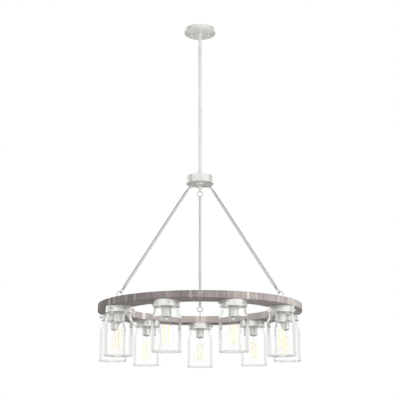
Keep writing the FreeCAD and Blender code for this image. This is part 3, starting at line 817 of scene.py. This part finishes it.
def worn_form():
    """A hoop bored with even upright holes, its faces and edges a little uneven."""
    kinds = dict.fromkeys(("Hole_Radius", "Circle", "Height", "First", "Wear", "Scale", "Seed"), "Float")
    form = Form("worn_hoop", Holes="Int", **kinds)
    points = form.spots(*(form.given(key) for key in ("Holes", "Circle", "Height", "First")))[0]
    size = {"Vertices": 24, "Radius": form.given("Hole_Radius"), "Depth": drill_length}
    drill = form.add("GeometryNodeMeshCylinder", None, size)
    drills = form.add("GeometryNodeInstanceOnPoints", None, {"Points": points, "Instance": drill})
    inputs = {"Mesh 1": form.given("Geometry"), "Mesh 2": drills}
    bored = form.add("GeometryNodeMeshBoolean", {"operation": "DIFFERENCE", "solver": "FLOAT"}, inputs)
    inputs = {"Scale": form.given("Scale"), "W": form.given("Seed")}
    wave = form.add("ShaderNodeTexNoise", {"noise_dimensions": "4D"}, inputs, "Color")
    offset = form.sum("SCALE", form.sum("SUBTRACT", wave, (noise_middle,) * 3), form.given("Wear"))
    form.close(form.add("GeometryNodeSetPosition", None, {"Geometry": bored, "Offset": offset}))
    return form


def weathered_wood():
    """Grey wood: saw marks square to the hoop, grain lines along it, pale bands and dark edges."""
    finish = Finish("weathered_wood", wood_mid)
    flat = finish.place((1, 1, 0))
    out = finish.sum("NORMALIZE", flat, (0, 0, 0))
    radius = finish.length(flat)
    height = finish.split(finish.place())[2]
    deep = finish.joined(height + radius, height - radius, height)

    def marks(round_rate, deep_rate, detail, roughness=0.5):
        about = finish.sum("SCALE", out, round_rate)
        place = finish.sum("ADD", about, finish.sum("SCALE", deep, deep_rate))
        return finish.noise(place, detail=detail, roughness=roughness)

    saw = marks(*saw_marks)
    fine = marks(*fine_marks)
    grain = marks(*grain_lines)

    # Pale bands run across the hoop, broken into streaks by the saw marks.
    east, north = finish.split(out)[:2]
    wander = (marks(*band_wander_marks) - noise_middle) * band_wander
    bearing = north.maths("ARCTAN2", east) * (180 / math.pi) + wander
    streaks = finish.rise(fine + saw / 2, *band_streak_share) * (1 - band_solid_share) + band_solid_share
    bands = finish.rise(marks(*stray_bands), *stray_band_share)
    for band_bearing, band_half, strength in pale_bands:
        off = (bearing - band_bearing).maths("ABSOLUTE")
        bands = bands + finish.fade(off, band_half * band_core_share, band_half) * streaks * strength

    # Scratches run along the hoop. One is long and shows in front.
    off = (saw - noise_middle).maths("ABSOLUTE") * scratch_wander
    off = (height - scratch_height).maths("ABSOLUTE") + off
    along = (bearing - scratch_bearing).maths("ABSOLUTE")
    long_scratch = finish.fade(along, scratch_half * scratch_core_share, scratch_half)
    long_scratch = long_scratch * finish.fade(off, *scratch_fade)
    scratches = finish.rise(marks(*stray_scratches), *stray_scratch_share) + long_scratch

    # The hoop is darker along its edges, and painted shade darkens its underside. It is paler round its
    # inner wall, and painted light makes it paler on the side towards the lamp.
    from_sides = (radius - ring_inner).maths("MINIMUM", ring_high.x - radius)
    from_faces = (height - ring_low.z).maths("MINIMUM", ring_high.z - height)
    edge = finish.fade(from_sides.maths("MAXIMUM", from_faces), 0.0, edge_reach)
    underside_shade = finish.fade(height, *(ring_low.z + reach for reach in underside_shade_fade))
    inside = finish.fade(radius, *(ring_inner + reach for reach in inner_fade))
    # Painted light, strongest on the side towards the lamp.
    side_light = finish.sum("DOT_PRODUCT", out, lamp_side, "Value")
    level = finish.split(finish.add("ShaderNodeNewGeometry", output="Normal"))[2].maths("ABSOLUTE")

    tone = saw * saw_weight + fine * mark_weight + grain * mark_weight + marks(*patches) * patch_weight
    tone = tone + side_light * side_light_weight - tone_level - edge * saw * edge_dark - underside_shade * underside_shade_strength
    worn = finish.between(finish.rise(tone, *dark_to_mid), wood_dark, wood_mid)
    pale = bands * (band_share - level * level_band_share) + scratches * scratch_share
    pale = pale + inside * (inner_share + side_light * inner_side_light_share)
    pale = pale + finish.rise(tone, *mid_to_light) * light_share
    finish.feed(
        Base_Color=finish.between(pale.maths("MINIMUM", 1.0), worn, wood_light),
        Roughness=wood_roughness + saw * saw_roughness,
    )
    finish.bump(saw + grain / 2 + fine * mark_weight, strength=0.5, depth=0.5 * mm)
    return finish.material


ring_outline = rounded(
    [
        (ring_inner, ring_low.z, ring_edge),
        (ring_high.x, ring_low.z, ring_edge),
        (ring_high.x, ring_high.z, ring_edge),
        (ring_inner, ring_high.z, ring_edge),
    ]
)
hoop = turned("wooden_hoop", ring_outline, weathered_wood(), ring_sides)
worn_form().shape(
    hoop,
    Holes=light_count,
    Hole_Radius=wire_hole,
    Circle=light_circle - wire_hole_inset,
    Height=ring_high.z,
    First=math.radians(back_bearing),
    Wear=0.5 * mm,
    Scale=55.0,
    Seed=4.0,
    Material=hoop.data.materials[0],
)
fit_out(hoop, "ring", "wood_ring")


# The ring's three eyes: wire loops like the hub's, each brazed to a neck on a wider turned collar.
# A plain shank goes down into the wood, and the collar bears on the ring's top.

ring_eyes_low, ring_eyes_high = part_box("ring_eyes")
ring_eye_centre = ring_eyes_high.z - eye_outer
ring_eye_root = ring_eye_centre - eye_outer + eye_root
ring_eye_neck = 3 * mm
ring_eye_root_edge = 0.8 * mm
ring_eye_shank = 2.8 * mm
ring_collar = 6.3 * mm
ring_collar_top = ring_high.z + 5 * mm
ring_eye_outline = rounded(
    [
        (0, ring_eye_root),
        (ring_eye_neck, ring_eye_root, ring_eye_root_edge),
        (ring_eye_neck, ring_collar_top, eased_edge),
        (ring_collar, ring_collar_top, round_edge),
        (ring_collar, ring_high.z),
        (ring_eye_shank, ring_high.z, 0),
        (ring_eye_shank, ring_eyes_low.z),
        (0, ring_eyes_low.z),
    ],
    closed=False,
)
fit_out(eyes("ring_", light_circle, ring_eye_centre, ring_eye_outline, sides=64), "ring", "ring_eyes")


# The nine caps: cups drawn from sheet steel, brushed and plated, in a paler copy of the nickel that paints
# light on them.
# Each is screwed up against the ring by two screws inside it, and takes the neck of a jar.

cap_radius = (caps_high.x - caps_low.x) / 2
cap_edge = 0.9 * mm
# A paler copy of the same nickel: painted light on the caps.
lit_nickel_dark = (0.97, 0.978, 0.935, 1.0)
lit_nickel_light = (1.0, 1.0, 0.97, 1.0)
cap_outline = rounded(
    [
        (cap_radius, caps_low.z),
        (cap_radius, caps_high.z, cap_edge),
        (pipe_radius, caps_high.z),
        (pipe_radius, caps_high.z - sheet),
        (cap_radius - sheet, caps_high.z - sheet, cap_edge),
        (cap_radius - sheet, caps_low.z),
    ]
)


def at_each_light(name, outline, material, node):
    """Nine pieces turned from one outline, each in the place of its own node."""
    pattern = turned(name + "pattern", outline, material)
    for number in range(light_count):
        piece = placed(name + str(number + 1), pattern.data.copy())
        set_out(piece, radius=light_circle, first=back_bearing + 360 * number / light_count)
        fit_out(piece, "ring", node + str(number + 1))
    bpy.data.objects.remove(pattern)


def at_lights(piece, node):
    """One piece set out at the nine lights, in the place of a node."""
    fit_out(set_out(piece, light_count, light_circle), "ring", node)


bright_nickel = brushed_nickel("bright_nickel", lit_nickel_dark, lit_nickel_light)
at_each_light("cap_", cap_outline, bright_nickel, "jar_cap_")


# The thumbscrews: three to a cap, turned and plated, with a knurled round head and a dished end.
# Their tips hold the jar by its neck.

thumb_count = 3
thumb_drop = 13.5 * mm
thumb_tip = 52.3 * mm
thumb_shank = 2.08 * mm
thumb_head = 4.5 * mm
thumb_head_start = 57.8 * mm
thumb_head_end = 65.3 * mm
thumb_head_crown = 1.2 * mm
thumb_head_edge = 0.8 * mm
thumb_head_chamfer = 0.6 * mm
thumb_lip_share = 0.72
thumb_lip_edge = 0.5 * mm
thumb_dish = 0.7 * mm
thumb_dish_share = 0.55
thumb_bend_share = 0.8
thumb_dish_bend = 1.5 * mm
thumb_rim = (thumb_head_start + 0.7 * mm, thumb_head_end - 1.5 * mm)
thumb_sides = 4 * knurl_count
thumb_outline = rounded(
    [
        (0, thumb_head_end - thumb_dish),
        (thumb_head * thumb_dish_share, thumb_head_end - thumb_dish * thumb_bend_share, thumb_dish_bend),
        (thumb_head * thumb_lip_share, thumb_head_end, thumb_lip_edge),
        (thumb_head, thumb_head_end - thumb_head_crown, thumb_head_edge),
        (thumb_head, thumb_head_start + thumb_head_chamfer, fine_edge),
        (thumb_head - thumb_head_chamfer, thumb_head_start, fine_edge),
        (thumb_shank, thumb_head_start),
        (thumb_shank, thumb_tip, eased_edge),
        (0, thumb_tip),
    ],
    closed=False,
)
thumb_outline = knurled(thumb_outline, *thumb_rim, thumb_head)
thumb_trio = turned("thumbscrew_set", thumb_outline, dull_nickel, thumb_sides, knurl_count, knurl_depth)
set_out(thumb_trio, thumb_count, height=ring_low.z - thumb_drop, first=30, lean=90)
at_lights(thumb_trio, "thumbscrews")


# The socket cups: spun cups, plated and brushed, each round an insulating lampholder of glazed porcelain.
# The lampholder's threaded neck goes up through the cup and the cap into a pocket of the ring.

cups_low, cups_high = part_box("socket_cups")
cup_radius = 20.3 * mm
cup_wall = 1 * mm
cup_mouth_edge = 0.5 * mm
cup_lip = 1 * mm
cup_lip_height = 2 * mm
cup_lip_inner = cup_radius - cup_wall - cup_lip
spun_dark = (0.66, 0.666, 0.634, 1.0)
spun_light = (0.83, 0.838, 0.8, 1.0)
porcelain_colour = (0.82, 0.8, 0.74, 1.0)
porcelain_pale = (0.9, 0.89, 0.85, 1.0)


def porcelain():
    """Glazed white porcelain, faintly clouded."""
    finish = Finish("porcelain", porcelain_colour, Roughness=0.2, Coat_Weight=0.5)
    cloud = finish.noise(scale=60.0)
    finish.feed(Base_Color=finish.between(cloud, porcelain_colour, porcelain_pale))
    return finish.material


dress(porcelain(), "lampholders")
cup_outline = rounded(
    [
        (pipe_radius, cups_high.z),
        (cup_radius, cups_high.z, round_edge),
        (cup_radius, cups_low.z, cup_mouth_edge),
        (cup_lip_inner, cups_low.z, fine_edge),
        (cup_lip_inner, cups_low.z + cup_lip_height, fine_edge),
        (cup_radius - cup_wall, cups_low.z + cup_lip_height, fine_edge),
        (cup_radius - cup_wall, cups_high.z - cup_wall),
        (pipe_radius, cups_high.z - cup_wall),
    ]
)
spun_nickel = brushed_nickel("spun_nickel", spun_dark, spun_light)
at_lights(turned("socket_cup_set", cup_outline, spun_nickel), "socket_cups")


# The jars: clear pressed glass with a rolled lip, a straight neck, a drawn shoulder and a thick floor.
# The mould leaves a shallow round mark under the floor. The three thumbscrews reach under each lip.

jar_low, jar_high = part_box("glass_jar_1")
jar_radius = (jar_high.x - jar_low.x) / 2
jar_lip = 54.6 * mm
jar_lip_bottom = ring_low.z - 15.88 * mm
jar_lip_lower_edge = 1.2 * mm
jar_lip_upper_edge = 1.5 * mm
jar_neck = 52 * mm
jar_shoulder_top = ring_low.z - 32 * mm
jar_shoulder_bottom = ring_low.z - 76 * mm
jar_wall = 5 * mm
jar_floor_top = jar_low.z + 3.6 * mm
jar_corner = 4 * mm
jar_inner_corner = 3 * mm
jar_mark = 14.5 * mm
jar_mark_depth = 1.2 * mm
jar_clear = (0.998, 1.0, 0.998, 1.0)
# The grey is painted shade at the jars' edges.
jar_edge_shade = (0.8, 0.81, 0.8, 1.0)
jar_bend_of_light = 1.17
edge_shade_facing = (0.36, 0.52)
ripple_share = 0.02


def clear_glass(name, bend, colour, edge):
    """Clear glass with painted shade: its upright walls are painted grey towards their edges, where light
    goes through more of them.
    """
    finish = Finish(name, colour, Roughness=0.0, IOR=bend, Transmission_Weight=1.0)
    facing = finish.add("ShaderNodeLayerWeight", output="Facing")
    upright = 1 - finish.split(finish.add("ShaderNodeNewGeometry", output="Normal"))[2].maths("ABSOLUTE")
    ripple = finish.noise(scale=30.0, detail=1.0)
    share = finish.rise(facing + ripple * ripple_share, *edge_shade_facing) * upright
    finish.feed(Base_Color=finish.between(share, colour, edge))
    return finish.material


jar_turn = math.degrees(2 * math.atan((jar_radius - jar_neck) / (jar_shoulder_top - jar_shoulder_bottom)))
jar_bend = (jar_shoulder_top - jar_shoulder_bottom) / (2 * math.sin(math.radians(jar_turn)))


def jar_shoulder(inset):
    """The shoulder as two tangent arcs, from the body up to the neck."""
    lower = arc(jar_radius - jar_bend, jar_shoulder_bottom, jar_bend - inset, 0, jar_turn)
    upper = arc(jar_neck + jar_bend, jar_shoulder_top, jar_bend + inset, 180 + jar_turn, 180)
    return lower + upper


def jar_heel(radius, bottom, bend):
    """The round corner from a floor up to its wall."""
    return arc(radius - bend, bottom + bend, bend, -90, 0)


jar_outline = rounded(
    [
        (0, jar_low.z + jar_mark_depth),
        (jar_mark, jar_low.z + jar_mark_depth, eased_edge),
        (jar_mark, jar_low.z, eased_edge),
        *jar_heel(jar_radius, jar_low.z, jar_corner),
        *jar_shoulder(0),
        (jar_neck, jar_lip_bottom, eased_edge),
        (jar_lip, jar_lip_bottom, jar_lip_lower_edge),
        (jar_lip, jar_high.z, jar_lip_upper_edge),
        (jar_neck - jar_wall, jar_high.z, jar_lip_upper_edge),
        *jar_shoulder(jar_wall)[::-1],
        *jar_heel(jar_radius - jar_wall, jar_floor_top, jar_inner_corner)[::-1],
        (0, jar_floor_top),
    ],
    closed=False,
)
jar_glass = clear_glass("jar_glass", jar_bend_of_light, jar_clear, jar_edge_shade)
at_each_light("jar_", jar_outline, jar_glass, "glass_jar_")


# The bulbs: a plated screw base, a clear blown envelope, and a glass press with its wires.
# The wires carry four upright sticks coated with yellow phosphor.

bases_low, bases_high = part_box("bulb_bases")
base_radius = 13.1 * mm
base_root = 12.3 * mm
base_top = ring_low.z - 46 * mm
base_shoulder = 2 * mm
thread_count = 6
thread_steps = 10
contact_radius = 4.5 * mm
glasses_low, glasses_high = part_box("bulb_glasses")
bulb_radius = 32 * mm
bulb_wall = 0.4 * mm
bulb_length = glasses_high.z - glasses_low.z
bulb_shape = (  # shares of the radius, and of the length down from the top
    (0.4, 0),
    (0.42, 0.07),
    (0.56, 0.24),
    (0.78, 0.44),
    (0.94, 0.6),
    (1, 0.74),
    (0.91, 0.88),
    (0.58, 0.975),
    (0, 1),
)
bulb_clear = (1.0, 1.0, 0.998, 1.0)
# The grey is painted shade at the envelopes' edges.
bulb_edge_shade = (0.99, 0.99, 0.988, 1.0)
bulb_bend_of_light = 1.12
press_root = 6 * mm
press_tip = 2.6 * mm
press_bottom = ring_low.z - 84 * mm
press_taper_end = press_bottom + 5 * mm
press_taper_bend = 4 * mm
lead_radius = 0.2 * mm
lead_root = 1 * mm
stick_count = 4
stick_first = 57
stick_circle = 13 * mm
stick_radius = 1.5 * mm
stick_top = ring_low.z - 98 * mm
stick_bottom = ring_low.z - 176 * mm
phosphor_pale = (0.86, 0.82, 0.5, 1.0)
phosphor_warm = (0.86, 0.66, 0.34, 1.0)
phosphor_warm_reach = 12 * mm
phosphor_warm_share = 0.7
phosphor_painted_glow = (1.0, 0.94, 0.62, 1.0)


def base_outline():
    """The rolled thread, and the cone up to the contact."""
    rise = base_top - bases_low.z
    corners = [(0, bases_low.z)]
    for step in range(thread_count * thread_steps + 1):
        crest = (1 - math.cos(2 * math.pi * step / thread_steps)) / 2
        height = bases_low.z + rise * step / (thread_count + 1) / thread_steps
        corners.append((base_root + (base_radius - base_root) * crest, height, 0))
    corners += [(base_root, base_top - base_shoulder), (contact_radius, base_top)]
    corners += [(contact_radius, bases_high.z), (0, bases_high.z)]
    return rounded(corners, closed=False)


def bulb_side(inset, steps=6):
    """The envelope's outline from its neck down to its tip, as a smooth curve through its shape."""
    places = [
        Vector(((bulb_radius - inset) * share, 0, glasses_high.z - (bulb_length - inset) * drop))
        for share, drop in bulb_shape
    ]
    before = places[0] * 2 - places[1]
    before.x = places[1].x
    after = Vector((-places[-2].x, 0, places[-2].z))
    places = [before, *places, after]
    outline = []
    for a, b, c, d in zip(places, places[1:], places[2:], places[3:]):
        slope, bend, twist = c - a, a * 2 - b * 5 + c * 4 - d, b * 3 - a - c * 3 + d
        for step in range(steps):
            t = step / steps
            outline.append((b * 2 + slope * t + bend * t**2 + twist * t**3) / 2)
    return outline + [places[-2]]


def phosphor():
    """Fine yellow grains, warmer towards the sticks' tops, with a faint painted glow of their own."""
    # Painted glow: the sticks give off a faint light of their own.
    glow = {"Emission_Color": phosphor_painted_glow, "Emission_Strength": 0.36}
    finish = Finish("phosphor", phosphor_pale, Roughness=0.5, **glow)
    height = finish.split(finish.place())[2]
    top = finish.rise(height, stick_top - phosphor_warm_reach, stick_top)
    flecks = finish.noise(scale=1200.0)
    warm = top * phosphor_warm_share + flecks * (1 - phosphor_warm_share)
    finish.feed(Base_Color=finish.between(warm, phosphor_pale, phosphor_warm))
    finish.bump(finish.noise(scale=1800.0), strength=0.4, depth=0.1 * mm)
    return finish.material


at_lights(turned("base_set", base_outline(), zinc, sides=72), "bulb_bases")
bulb_glass = clear_glass("bulb_glass", bulb_bend_of_light, bulb_clear, bulb_edge_shade)
envelope_outline = bulb_side(bulb_wall)[::-1] + bulb_side(0)
at_lights(turned("envelope_set", envelope_outline, bulb_glass, sides=96), "bulb_glasses")
press_outline = rounded(
    [
        (0, bases_low.z),
        (press_root, bases_low.z),
        (press_tip, press_taper_end, press_taper_bend),
        (press_tip, press_bottom, round_edge),
        (0, press_bottom),
    ],
    closed=False,
)
at_lights(turned("press_set", press_outline, bulb_glass, sides=48), "bulb_mounts")


def bar(name, radius, low, high, material, sides=16):
    """An upright round bar with soft ends."""
    outline = rounded([(0, low), (radius, low), (radius, high), (0, high)], closed=False)
    return turned(name, outline, material, sides)


leads = [bar("lead_set", lead_radius, stick_bottom, press_bottom + lead_root, zinc)]
for height in (stick_top - stick_radius, stick_bottom + stick_radius):
    arm = bar("lead_arm", lead_radius, 0, stick_circle, zinc)
    leads.append(set_out(arm, stick_count, height=height, first=stick_first, lean=90))
at_lights(merged(*leads), "bulb_mounts")
stick = bar("stick_set", stick_radius, stick_bottom, stick_top, phosphor(), sides=32)
at_lights(set_out(stick, stick_count, stick_circle, first=stick_first), "bulb_mounts")


# The floor: a sheet of pale paper well below the chandelier, part of the studio and not of the piece.
# Far off it goes over to the white surround. Mirrored in metal, it has a grey band far behind the piece.

floor_drop = 0.75
floor_half = 30.0
floor_pale = (0.87, 0.87, 0.87, 1.0)
floor_grey = (0.83, 0.83, 0.83, 1.0)
floor_behind = (0.33, 0.33, 0.33, 1.0)
grey_behind = (3.9, 6.0)
pale_again = (7.4, 8.6)
no_glow = (0.0, 0.0, 0.0, 1.0)
far_glow = (0.41, 0.41, 0.41, 1.0)
glow_reach = (1.0, 6.5)


def rays(tree):
    """Whether light comes straight to the eye, off a mirror, or through glass."""
    keys = ("Is Camera Ray", "Is Glossy Ray", "Is Transmission Ray")
    return [tree.add("ShaderNodeLightPath", output=key) for key in keys]


def pale_floor():
    """Pale paper, with the glow that hides its far edge and the grey band that metal mirrors."""
    finish = Finish("pale_floor", floor_pale, Roughness=0.8, Emission_Strength=1.0)
    direct, mirrored, through = rays(finish)
    away = finish.split(finish.place())[1]
    band = finish.rise(away, *grey_behind) * finish.fade(away, *pale_again)
    behind = band * mirrored * (1 - through)
    far = finish.rise(finish.length(finish.place((1, 1, 0))), *glow_reach)
    cloud = finish.noise(scale=1.5)
    finish.feed(
        Base_Color=finish.between(behind, finish.between(cloud, floor_grey, floor_pale), floor_behind),
        Emission_Color=finish.between(far * (direct + through).maths("MINIMUM", 1.0), no_glow, far_glow),
    )
    return finish.material


floor_skin = bmesh.new()
floor_corners = [
    floor_skin.verts.new((x * floor_half, y * floor_half, cad_box[0].z - floor_drop))
    for x, y in ((-1, -1), (1, -1), (1, 1), (-1, 1))
]
floor_skin.faces.new(floor_corners)
built("floor", floor_skin, pale_floor())


# The surround: white to the eye and through glass. Mirrored in metal, its front, sides and top are darker.
# One large soft lamp hangs high on the right. Metal doesn't mirror it.

matt_light = 0.7
darkest = 0.1
side_bearing = 94.0
side_fade = (13.0, 28.0)
side_shade = 0.42
front_fade = (7.0, 14.0)
front_shade = 0.2
studio_turn = 6.0
overhead = (0.46, 0.6)
overhead_sides = (14.0, 34.0)
overhead_shade = 0.8
side_top = (0.82, 0.95)
horizon = (-0.12, -0.02)
lamp_place = Vector((2.75, -1.8, 1.1))
lamp_aim = Vector((0, 0, -1.1))

world = bpy.data.worlds.new("surround")
world.use_nodes = True
bpy.context.scene.world = world
sky = Tree(world.node_tree)
background = world.node_tree.nodes["Background"]
direct, mirrored, through = rays(sky)
east, north, high = sky.split(sky.add("ShaderNodeTexCoord", output="Generated"))
bearing = (east.maths("ARCTAN2", north * -1.0) * (180 / math.pi) - studio_turn).maths("ABSOLUTE")
from_side = (bearing - side_bearing).maths("ABSOLUTE")
above = sky.rise(high, *horizon)
sides = sky.fade(from_side, *side_fade) * above * sky.fade(high, *side_top)
front = sky.fade(bearing, *front_fade) * above
top = sky.rise(high, *overhead) * sky.rise(bearing, *overhead_sides)
dark = sides * side_shade + front * front_shade + top * overhead_shade
clear = (direct + through).maths("MINIMUM", 1.0)
reflected = mirrored * (1 - dark).maths("MAXIMUM", darkest) + (1 - mirrored) * matt_light
strength = clear + (1 - clear) * reflected
world.node_tree.links.new(strength.socket, background.inputs["Strength"])
background.inputs["Color"].default_value = (1.0, 1.0, 1.0, 1.0)

lamp_data = bpy.data.lights.new("key", "AREA")
lamp_data.size = 3.0
lamp_data.energy = 115.0
lamp = placed("key", lamp_data)
lamp_turn = (lamp_aim - lamp_place).to_track_quat("-Z", "Y").to_matrix().to_4x4()
lamp.matrix_world = Matrix.Translation(lamp_place) @ lamp_turn
lamp.visible_glossy = False


# The camera: low in front of the chandelier and tilted up, as the photo's was.
# Light goes on through many layers of glass before it is dropped, so that the jars stay clear.

lens_in_pixels = 922.38
picture_width = 400
sensor_width = 36
camera_distance = 4.1405
camera_drop = 0.5614
camera_tilt = 14.7
light_bounces = 32
camera_data = bpy.data.cameras.new("camera")
camera_data.lens = lens_in_pixels * sensor_width / picture_width
camera_data.sensor_width = sensor_width
camera = placed("camera", camera_data)
camera.location = (0, -camera_distance, ring_low.z - camera_drop)
camera.rotation_euler = (math.radians(90 + camera_tilt), 0, 0)
bpy.context.scene.camera = camera
bpy.context.scene.view_settings.view_transform = "Standard"
for kind in ("max_bounces", "transmission_bounces", "transparent_max_bounces", "glossy_bounces"):
    setattr(bpy.context.scene.cycles, kind, light_bounces)
